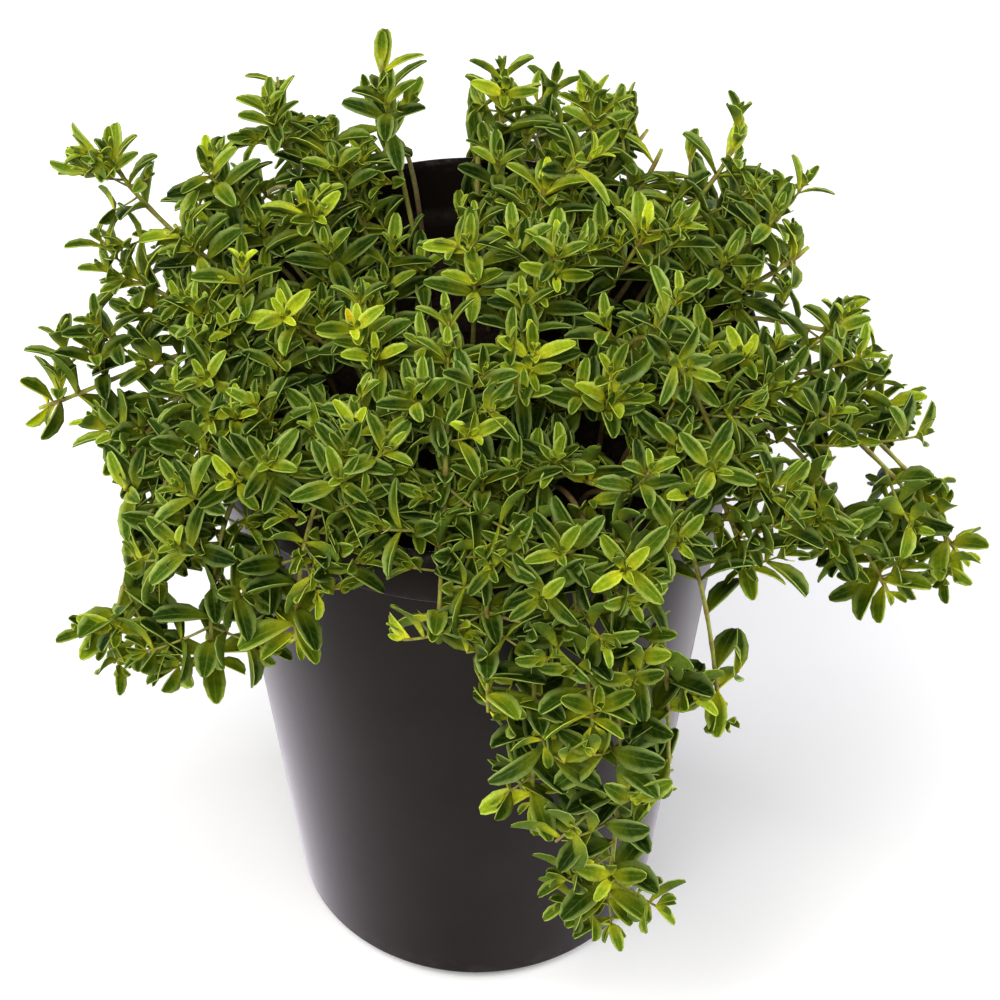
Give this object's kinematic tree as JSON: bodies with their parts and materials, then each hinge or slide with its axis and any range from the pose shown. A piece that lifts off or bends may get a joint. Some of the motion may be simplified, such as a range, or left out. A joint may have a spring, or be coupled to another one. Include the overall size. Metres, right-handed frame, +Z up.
{
  "type": "potted thyme",
  "caption": "Low bushy thyme in a deep round nursery pot, with leafy stems that trail over the rim; stands on its flat base.",
  "frame": {"origin": "centre of the pot's flat underside, where the pot's upright axis meets the surface it stands on", "axes": "+Z up the pot's axis; -Y is the front, where the longest stems hang; +X to the right seen from the front"},
  "size_m": [0.201, 0.1644, 0.214],
  "materials": {
    "pot_plastic": "satin",
    "potting_mix": "matte",
    "thyme": "satin"
  },
  "bodies": {
    "root": {"pot": "pot_plastic", "soil": "potting_mix", "sprig_back_tall": "thyme", "sprig_crown_left": "thyme", "sprig_upper_left": "thyme", "sprig_back_left": "thyme", "sprig_back_centre": "thyme", "sprig_back_right": "thyme", "sprig_back_far_right": "thyme", "sprig_right_top": "thyme", "sprig_right_shoulder": "thyme", "sprig_right_upper": "thyme", "sprig_right_reach": "thyme", "sprig_trail_right_a": "thyme", "sprig_trail_right_b": "thyme", "sprig_trail_right_c": "thyme", "sprig_low_right": "thyme", "sprig_hang_right": "thyme", "sprig_left_reach": "thyme", "sprig_left_upper": "thyme", "sprig_left_mid": "thyme", "sprig_trail_left_a": "thyme", "sprig_trail_left_b": "thyme", "sprig_trail_left_c": "thyme", "sprig_front_left": "thyme", "sprig_front_low": "thyme", "sprig_trail_front_main": "thyme", "sprig_trail_front_upper": "thyme", "sprig_trail_front_left": "thyme", "sprig_trail_front_mid": "thyme", "sprig_trail_front_right": "thyme", "sprig_mound_west": "thyme", "sprig_mound_west_front": "thyme", "sprig_mound_front_west": "thyme", "sprig_shoulder_west_front": "thyme", "sprig_shoulder_front_west": "thyme", "sprig_mound_front": "thyme", "sprig_mound_front_east": "thyme", "sprig_shoulder_front_east": "thyme", "sprig_mound_east": "thyme", "sprig_shoulder_east": "thyme", "sprig_low_front_east": "thyme", "sprig_low_front": "thyme", "sprig_shoulder_west": "thyme", "sprig_crown_west": "thyme", "sprig_crown_back": "thyme", "sprig_right_mid": "thyme", "sprig_crown_centre": "thyme", "sprig_front_east_mid": "thyme", "sprig_crown_north_west": "thyme", "sprig_crown": "thyme", "sprig_far_1": "thyme", "sprig_far_2": "thyme", "sprig_far_3": "thyme", "sprig_far_4": "thyme", "sprig_far_5": "thyme", "sprig_far_6": "thyme", "sprig_far_7": "thyme", "sprig_far_8": "thyme", "sprig_far_9": "thyme"}
  },
  "joints": []
}
